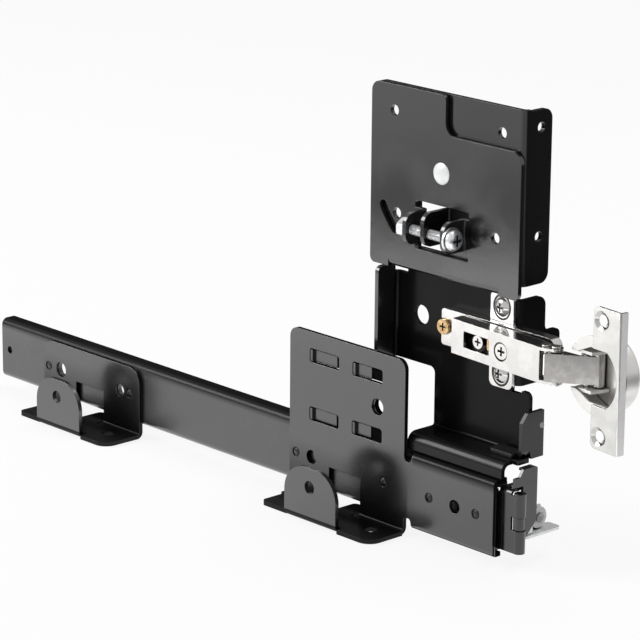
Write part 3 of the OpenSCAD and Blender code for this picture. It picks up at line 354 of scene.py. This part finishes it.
def plated(name, tint, dark, rough, streak, spangle_mm, edge_mm=0.2, metallic=1.0, rings=(), painted_highlight_grey=None):
    """streak stretches the rolling lines, rings go to ring_mark as painted shadows, the last argument is the
    grey of the painted highlight on +X faces.
    """
    metal = Finish(name)
    lines = metal.noise(0.9, stretch=streak, detail=5.0, rough=0.65)
    spots = metal.noise(spangle_mm, detail=3.0)
    worn = spots.above(0.44, 0.25)
    # Painted shade: seams that the Ambient Occlusion node finds, and the rings of painted shadow, take the dark
    # tint.
    seam = metal.openness(METAL_SEAM_REACH).below(0.45, 0.35)
    for ring in rings:
        seam = seam.larger(metal.ring_mark(*ring))
    skin = metal.mix(worn, dark, tint)
    # Painted highlight: faces towards +X are made lighter and less metallic.
    if painted_highlight_grey:
        side = axes(metal.add("ShaderNodeTexCoord", out="Normal"))[0].above(0.6, 0.3)
        skin = metal.mix(side, skin, (painted_highlight_grey, painted_highlight_grey, painted_highlight_grey))
        metallic = metallic - side * 0.8
    metal.set(Base_Color=metal.mix(seam, skin, PAINTED_SHADE_TINT), Metallic=metallic,
              Roughness=rough + lines * 0.10 + (1.0 - worn) * 0.05)
    metal.relief(lines, depth_mm=0.010, edge_mm=edge_mm)
    return metal.material


# %% [markdown]
# ## Measuring the rings
# The middle and the radius of a screw head are measured on its CAD node, so
# a ring stays round its screw when the model changes. Each ring starts and
# ends a little inside or outside the head's edge.

# %% Where the rings are
PLATE_RING, PLATE_RING_TALL = (-0.0001, 0.0009), 1.12
ARM_RING = (-0.0005, 0.0003)
CUP_HOLE_EDGE_X, CUP_HOLE_HALF_STEP = 0.0064, 0.0265
CUP_HOLE_RING = (0.0027, 0.0034)


def middle(name):
    low_corner, high_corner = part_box(name)
    return (low_corner + high_corner) / 2, low_corner, high_corner


screw_rings = []
where, low, high = middle("plate_screws")
screw_r = (high.x - low.x) / 2
for z in (high.z - screw_r, low.z + screw_r):
    screw_rings.append((where.x, z, screw_r + PLATE_RING[0], screw_r + PLATE_RING[1], PLATE_RING_TALL))
for name in ("clamp_screw", "side_screw"):
    where, low, high = middle(name)
    screw_r = (high.x - low.x) / 2
    screw_rings.append((where.x, where.z, screw_r + ARM_RING[0], screw_r + ARM_RING[1], 1.0))
where, low, high = middle("cup_flange")
wing_rings = [(low.x + CUP_HOLE_EDGE_X, where.z + side * CUP_HOLE_HALF_STEP, *CUP_HOLE_RING, 1.0)
              for side in (-1, 1)]
print("screw rings:", [[round(v, 4) for v in ring] for ring in screw_rings])

# %% [markdown]
# ## One finish for each kind of plating
# The tint is the clean colour and dark the worn one. The hinge's broad faces
# mirror the bright floor, so their nickel is written a good deal darker than
# the nickel of the small pins and links.

# %% The metals
nickel_ringed = plated("nickel_with_seams", tint=(0.60, 0.585, 0.57), dark=(0.53, 0.52, 0.51), rough=0.10,
                       streak=(0.12, 1, 1), spangle_mm=9.0, rings=screw_rings)
nickel = plated("nickel_plate", tint=(0.80, 0.78, 0.76), dark=(0.73, 0.71, 0.69), rough=0.10,
                streak=(0.12, 1, 1), spangle_mm=9.0)
nickel_cup = plated("drawn_nickel", tint=(0.78, 0.77, 0.75), dark=(0.72, 0.71, 0.69), rough=0.24,
                    streak=(1, 1, 0.4), spangle_mm=12.0, metallic=0.5)
nickel_wing = plated("drawn_nickel_wing", tint=(0.56, 0.555, 0.54), dark=(0.50, 0.495, 0.48), rough=0.12,
                     streak=(1, 1, 0.12), spangle_mm=7.0, edge_mm=0.3, metallic=0.9, rings=wing_rings,
                     painted_highlight_grey=0.9)
brushed = plated("brushed_nickel", tint=(0.42, 0.41, 0.40), dark=(0.32, 0.31, 0.30), rough=0.12,
                 streak=(1, 1, 0.05), spangle_mm=5.0)
zinc = plated("zinc_plate", tint=(0.88, 0.89, 0.90), dark=(0.72, 0.73, 0.75), rough=0.20,
              streak=(1, 0.2, 1), spangle_mm=2.2, metallic=0.9)
pale_zinc = plated("pale_zinc_plate", tint=(0.90, 0.90, 0.90), dark=(0.80, 0.81, 0.81), rough=0.26,
                   streak=(0.3, 1, 1), spangle_mm=5.0, metallic=0.25)
ball_steel = plated("ball_steel", tint=(0.80, 0.80, 0.81), dark=(0.72, 0.72, 0.73), rough=0.06,
                    streak=(1, 1, 1), spangle_mm=3.0, edge_mm=0.02)
brass = plated("turned_brass", tint=(0.66, 0.47, 0.26), dark=(0.42, 0.27, 0.13), rough=0.20,
               streak=(1, 0.2, 1), spangle_mm=1.6)
# Dark oiled steel for pins and axles; in the screw recesses the same material paints shade.
dark_steel_and_shade = plated("dark_oiled_steel_and_shade", tint=(0.30, 0.30, 0.31), dark=(0.16, 0.16, 0.17), rough=0.28,
                    streak=(1, 1, 0.2), spangle_mm=3.0)
print("metals ready")

# %% [markdown]
# ## Grey plastic
# The guide roller is moulded, so it has no streaks. It is a little cloudy
# where the plastic flowed, and its skin has a fine grain.

# %% Grey roller plastic
roller = Finish("grey_roller_plastic")
grain = roller.noise(0.5, detail=3.0)
flow = roller.noise(6.0)
roller.set(Base_Color=roller.mix(flow, (0.56, 0.565, 0.57), (0.68, 0.685, 0.69)), Roughness=0.42 + grain * 0.12)
roller.relief(grain, depth_mm=0.02, edge_mm=0.25)
roller_plastic = roller.material
print("plastic ready")

# %% [markdown]
# ## Dressing the CAD nodes
# A node whose shape is right keeps its mesh and only gets a better material.
# The table says which finish each real piece has.

# %% Which node wears what
FINISHES = {
    black_rail: ["cabinet_rail"],
    black_bracket: ["front_bracket", "rear_bracket"],
    black_rivet: ["bracket_rivets", "end_tab"],
    black_carrier: ["carrier"],
    black_sheet: ["runner_bracket", "follower_plate", "flap_bracket", "guide_flap"],
    nickel_ringed: ["hinge_plate", "plate_screws", "hinge_arm", "clamp_screw", "side_screw"],
    nickel: ["inner_link", "arm_pins", "link_pins", "cup_pins", "flap_rivet"],
    nickel_cup: ["hinge_cup"],
    nickel_wing: ["cup_flange"],
    brushed: ["outer_link"],
    zinc: ["ball_retainer", "runner", "runner_rivets", "adjuster_washer", "adjuster_nut", "adjusting_screw"],
    pale_zinc: ["guide_arm", "pivot_rivet"],
    dark_steel_and_shade: ["end_tab_rivet", "flap_pin", "roller_axle"],
    ball_steel: ["race_balls_top", "race_balls_bottom"],
    brass: ["depth_cam", "brass_nut"],
    roller_plastic: ["guide_roller"],
}
dressed = 0
for material, names in FINISHES.items():
    for name in names:
        mesh = nodes[name].data
        mesh.materials.clear()
        mesh.materials.append(material)
        dressed += 1
print("dressed", dressed, "of", len(nodes), "nodes")


# %% [markdown]
# ## Painted shade in the cross recesses
# The recess of a plated screw lies in shade, and that shade is painted. A face
# belongs to the recess when it is close to the screw's axis and either stands
# upright or lies deeper than the head's crown. Those faces get a second, dark
# material, so nothing has to be modelled.

# %% Faces inside the recesses
CROWN_DEPTH, RECESS_DEPTH, UPRIGHT_NORMAL = 0.0008, 0.002, 0.3
PLATE_SCREW_R, PLATE_SCREW_REACH = 0.0046, 0.0024


def paint_recess_shade(name, axis_places, reach, crown_y):
    mesh = nodes[name].data
    # The second material paints shade on the recess faces.
    mesh.materials.append(dark_steel_and_shade)
    found = 0
    for face in mesh.polygons:
        sunk = abs(face.normal.y) < UPRIGHT_NORMAL or face.center.y > crown_y + CROWN_DEPTH
        if not sunk or face.center.y >= crown_y + RECESS_DEPTH:
            continue
        if any(math.hypot(face.center.x - x, face.center.z - z) < reach for x, z in axis_places):
            face.material_index = 1
            found += 1
    print("recess faces in", name, found)


where, low, high = middle("plate_screws")
paint_recess_shade("plate_screws", [(where.x, high.z - PLATE_SCREW_R), (where.x, low.z + PLATE_SCREW_R)],
              PLATE_SCREW_REACH, low.y)
for name, reach in (("clamp_screw", 0.0020), ("side_screw", 0.0024), ("depth_cam", 0.0021)):
    where, low, high = middle(name)
    paint_recess_shade(name, [(where.x, where.z)], reach, low.y)

# %% [markdown]
# ## The screw thread
# A thread is one groove that winds round a rod. Its rule is a helix, so
# Geometry Nodes draw it: a spiral curve with a small four-sided profile, laid
# on a thinner core. The CAD rod has the thread's outside diameter, so the
# new screw replaces it and stays inside its space.

# %% A helix as a node tree
def thread_tree():
    tree = bpy.data.node_groups.new("screw_thread", "GeometryNodeTree")
    for name, kind, value in (("Turns", "NodeSocketFloat", 40.0), ("Length", "NodeSocketFloat", 0.032),
                              ("Radius", "NodeSocketFloat", 0.00215), ("Ridge", "NodeSocketFloat", 0.00034),
                              ("Finish", "NodeSocketMaterial", None)):
        socket = tree.interface.new_socket(name, in_out="INPUT", socket_type=kind)
        if value is not None:
            socket.default_value = value
    tree.interface.new_socket("Geometry", in_out="OUTPUT", socket_type="NodeSocketGeometry")
    turns = add_node(tree, "NodeGroupInput", out="Turns")
    length, radius, ridge, finish = (turns.also(name) for name in ("Length", "Radius", "Ridge", "Finish"))
    helix = add_node(tree, "GeometryNodeCurveSpiral", Resolution=20, Rotations=turns, Height=length,
                     Start_Radius=radius, End_Radius=radius)
    ring = add_node(tree, "GeometryNodeCurvePrimitiveCircle", Resolution=4, Radius=ridge)
    sweep = add_node(tree, "GeometryNodeCurveToMesh", Curve=helix, Profile_Curve=ring, Fill_Caps=True)
    real = add_node(tree, "GeometryNodeRealizeInstances", numbered={0: sweep})
    coated = add_node(tree, "GeometryNodeSetMaterial", Geometry=real, Material=finish)
    feed(tree, tree.nodes.new("NodeGroupOutput").inputs[0], coated)
    return tree


def grown(name, tree, values):
    """The tree's result as a plain mesh object at the origin."""
    holder = bpy.data.objects.new(name + "_holder", bpy.data.meshes.new(name + "_holder"))
    scene.collection.objects.link(holder)
    modifier = holder.modifiers.new("grow", "NODES")
    modifier.node_group = tree
    for item in tree.interface.items_tree:
        if item.item_type == "SOCKET" and item.in_out == "INPUT" and item.name in values:
            modifier[item.identifier] = values[item.name]
    bpy.context.view_layer.update()
    mesh = bpy.data.meshes.new_from_object(holder.evaluated_get(bpy.context.evaluated_depsgraph_get()))
    bpy.data.objects.remove(holder)
    piece = bpy.data.objects.new(name, mesh)
    scene.collection.objects.link(piece)
    return piece


# %% [markdown]
# ## Turned shapes
# The screw's head and core are turned on a lathe. `lathe` takes the outline
# as pairs of distance along the axis and radius, and spins it. The first and
# last radius are zero, so the skin is closed.

# %% A lathe along X
def lathe(outline, sides=48):
    shape = bmesh.new()
    rings = []
    for along, radius in outline:
        angles = [2 * math.pi * k / sides for k in range(sides if radius else 1)]
        rings.append([shape.verts.new((along, radius * math.cos(angle), radius * math.sin(angle)))
                      for angle in angles])
    for a, b in zip(rings, rings[1:]):
        for k in range(sides):
            corners = [a[k % len(a)], a[(k + 1) % len(a)], b[(k + 1) % len(b)], b[k % len(b)]]
            corners = list(dict.fromkeys(corners))
            if len(corners) > 2:
                shape.faces.new(corners)
    bmesh.ops.recalc_face_normals(shape, faces=shape.faces)
    return shape


def finished(name, shape, material, place, smooth=True):
    """A bmesh as an object at the origin, its place in its mesh."""
    mesh = bpy.data.meshes.new(name)
    shape.to_mesh(mesh)
    shape.free()
    mesh.transform(Matrix.Translation(place))
    mesh.materials.append(material)
    piece = bpy.data.objects.new(name, mesh)
    scene.collection.objects.link(piece)
    if smooth:
        mesh.shade_smooth()
        mesh.set_sharp_from_angle(angle=math.radians(35))
    return piece


# %% [markdown]
# ## The adjusting screw
# The real one is a threaded rod with a flat round head, domed at the rim.
# The outline below runs from the rod's chamfered end to the middle of the
# head, and its length is that of the CAD node.

# %% The turned core and head
CORE_R, HEAD_R, HEAD_LONG = 0.0021, 0.0048, 0.0034
HEAD_INSET = 0.00005

low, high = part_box("adjusting_screw")
screw_mid = Vector((0, (low.y + high.y) / 2, (low.z + high.z) / 2))
head_x, crown_x = high.x - HEAD_LONG, high.x - HEAD_INSET
core = lathe([(low.x, 0), (low.x, 0.0014), (low.x + 0.0008, CORE_R), (head_x, CORE_R), (head_x, HEAD_R),
              (head_x + 0.0004, 0.0049), (head_x + 0.0019, HEAD_R), (head_x + 0.0028, 0.0041),
              (crown_x, 0.0026), (crown_x, 0.00001), (crown_x, 0)])
screw_core = finished("adjusting_screw_turned", core, zinc, screw_mid)
print("turned screw:", round((high.x - low.x) * 1000, 1), "mm long")


# %% [markdown]
# ## The cross recess
# A driver's cross is pressed into the head. Two thin crossed blades are cut
# away with a Boolean modifier, which also carries their dark material over to
# the new walls as painted shade in the cross. The result is read back as a
# plain mesh.

# %% Cut the cross
CROSS_WIDTH, CROSS_DEPTH, CROSS_SLENDER = 0.0054, 0.0019, 4.2


def cut_cross(piece, centre, width, depth):
    """A cross recess, cut along X with two crossed blades."""
    blades = bmesh.new()
    thin = width / CROSS_SLENDER
    for size in ((depth * 2, width, thin), (depth * 2, thin, width)):
        bmesh.ops.create_cube(blades, size=1.0, matrix=Matrix.Translation(centre) @ Matrix.Diagonal((*size, 1)))
    mesh = bpy.data.meshes.new("blades")
    blades.to_mesh(mesh)
    blades.free()
    mesh.materials.append(dark_steel_and_shade)
    cutter = bpy.data.objects.new("blades", mesh)
    scene.collection.objects.link(cutter)
    cut = piece.modifiers.new("cut", "BOOLEAN")
    cut.operation, cut.object, cut.solver, cut.use_self = "DIFFERENCE", cutter, "EXACT", True
    cut.material_mode = "TRANSFER"
    bpy.context.view_layer.update()
    result = bpy.data.meshes.new_from_object(piece.evaluated_get(bpy.context.evaluated_depsgraph_get()))
    piece.modifiers.clear()
    piece.data = result
    bpy.data.objects.remove(cutter)


cut_cross(screw_core, Vector((high.x, screw_mid.y, screw_mid.z)), CROSS_WIDTH, CROSS_DEPTH)
print("screw core:", len(screw_core.data.polygons), "faces")

# %% [markdown]
# ## Putting the screw together
# The helix is drawn along Z, so it is turned to lie along X and moved onto
# the core. Core and thread then ride on the same body, and the core takes
# the CAD rod's place.

# %% The thread on the core
PITCH, THREAD_INSET = 0.0008, 0.0006

thread_long = head_x - low.x - 2 * THREAD_INSET
thread = grown("adjusting_screw_thread", thread_tree(),
               {"Turns": thread_long / PITCH, "Length": thread_long, "Finish": zinc})
thread_start = Matrix.Translation((low.x + THREAD_INSET, screw_mid.y, screw_mid.z))
thread.data.transform(thread_start @ Matrix.Rotation(math.pi / 2, 4, "Y"))
thread.data.shade_smooth()
for piece in (screw_core, thread):
    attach(piece, "screw")
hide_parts("adjusting_screw")
print("thread:", round(thread_long / PITCH), "turns,", len(thread.data.polygons), "faces")

# %% [markdown]
# ## The floor
# The photo has a white ground with a soft shadow. A floor that is lit white
# would throw light on the black paint, so only the camera sees this one
# white: Light Path says which ray arrives, and a Mix Shader sets an even
# glow over the plain floor. Glossy rays get a pattern of their own, read off
# the paint in the photo: bright towards the left, a lighter and a darker
# band, and dark towards the right. Each part of it is a soft step with a
# place, a width and a gain.

# %% Floor
FLOOR_HALF, FLOOR_Z = 6.0, -0.0004
SEEN_WHITE, MIRRORED_WHITE = 0.87, 1.25
LEFT_PART, RIGHT_FADE = (-0.12, 0.10, 0.35), (0.33, 0.35, 0.94)
BANDS = ((0.30, 0.04, 1.3), (0.42, 0.05, -2.6), (0.60, 0.12, 0.9))


def soft_step(place, edge, soft, gain):
    return place.above(edge, soft) * gain



floor_shape = bmesh.new()
bmesh.ops.create_grid(floor_shape, x_segments=1, y_segments=1, size=FLOOR_HALF)
ground = Finish("pale_floor")
ground.set(Base_Color=(0.9, 0.9, 0.9, 1.0), Roughness=1.0, Specular_IOR_Level=0.0)
seen = ground.add("ShaderNodeLightPath", out="Is Camera Ray")
mirrored = seen.also("Is Glossy Ray")
x, y, _ = axes(ground.place)
away = ground.add("ShaderNodeVectorMath", {"operation": "LENGTH"}, out="Value", Vector=ground.place)
tone = MIRRORED_WHITE + soft_step(0.0 - x, *LEFT_PART)
for band in BANDS:
    tone = tone + soft_step(away, *band)
mirror_tone = tone * (1.0 - soft_step(x + y, *RIGHT_FADE))
glow = ground.add("ShaderNodeEmission", Strength=seen + (1.0 - seen) * mirror_tone)
ground.lay_over(seen * SEEN_WHITE + mirrored, glow)
floor = finished("floor", floor_shape, ground.material, Vector((0, 0, FLOOR_Z)), smooth=False)
print("floor", 2 * FLOOR_HALF, "m wide")


# %% [markdown]
# ## Lamps
# Studio light comes from large soft boxes, so these are wide area lamps. The
# main one stands at the upper left of the camera. A weaker one hangs above
# and behind the part, and lights its upper edges.

# %% Two area lamps
def lamp(name, place, target, size, power):
    data = bpy.data.lights.new(name, "AREA")
    data.shape, data.size, data.size_y, data.energy = "RECTANGLE", size[0], size[1], power
    lit = bpy.data.objects.new(name, data)
    scene.collection.objects.link(lit)
    lit.location = place
    lit.rotation_euler = (Vector(target) - Vector(place)).to_track_quat("-Z", "Y").to_euler()
    print(name, power, "W")


lamp("key_lamp", (-1.4, -1.3, 1.2), (0.05, 0.0, 0.1), (1.2, 1.0), 36.0)
lamp("top_lamp", (0.4, 0.5, 1.7), (0.1, 0.0, 0.1), (1.2, 1.2), 12.0)

# %% [markdown]
# ## The room
# The camera sees a white room. Glossy rays see it a little darker, with a
# dark wall low down at the back on the left, because the faces of the part
# that mirror that side are black in the photo. All other rays get a weak
# even light, so that the paint stays black.

# %% World
MIRRORED_ROOM, WALL_DARKER, SOFT_LIGHT = 0.85, 0.79, 0.34
WALL_BEHIND, WALL_LEFT, WALL_TOP = (0.15, 0.30), (0.0, 0.3), (0.62, 0.20)

world = bpy.data.worlds.new("white_room")
scene.world = world
world.use_nodes = True
sky = world.node_tree
to_right, behind, up = axes(add_node(sky, "ShaderNodeTexCoord", out="Generated"))
dark_wall = behind.above(*WALL_BEHIND) * (0.0 - to_right).above(*WALL_LEFT) * up.below(*WALL_TOP)
room_tone = MIRRORED_ROOM - dark_wall * WALL_DARKER
camera_ray = add_node(sky, "ShaderNodeLightPath", out="Is Camera Ray")
glossy_ray = camera_ray.also("Is Glossy Ray")
strength = camera_ray + (1.0 - camera_ray) * (glossy_ray * room_tone + (1.0 - glossy_ray) * SOFT_LIGHT)
background = sky.nodes["Background"]
feed(sky, background.inputs["Strength"], strength)
feed(sky, background.inputs["Color"], (1.0, 1.0, 1.0, 1.0))
print("studio ready")
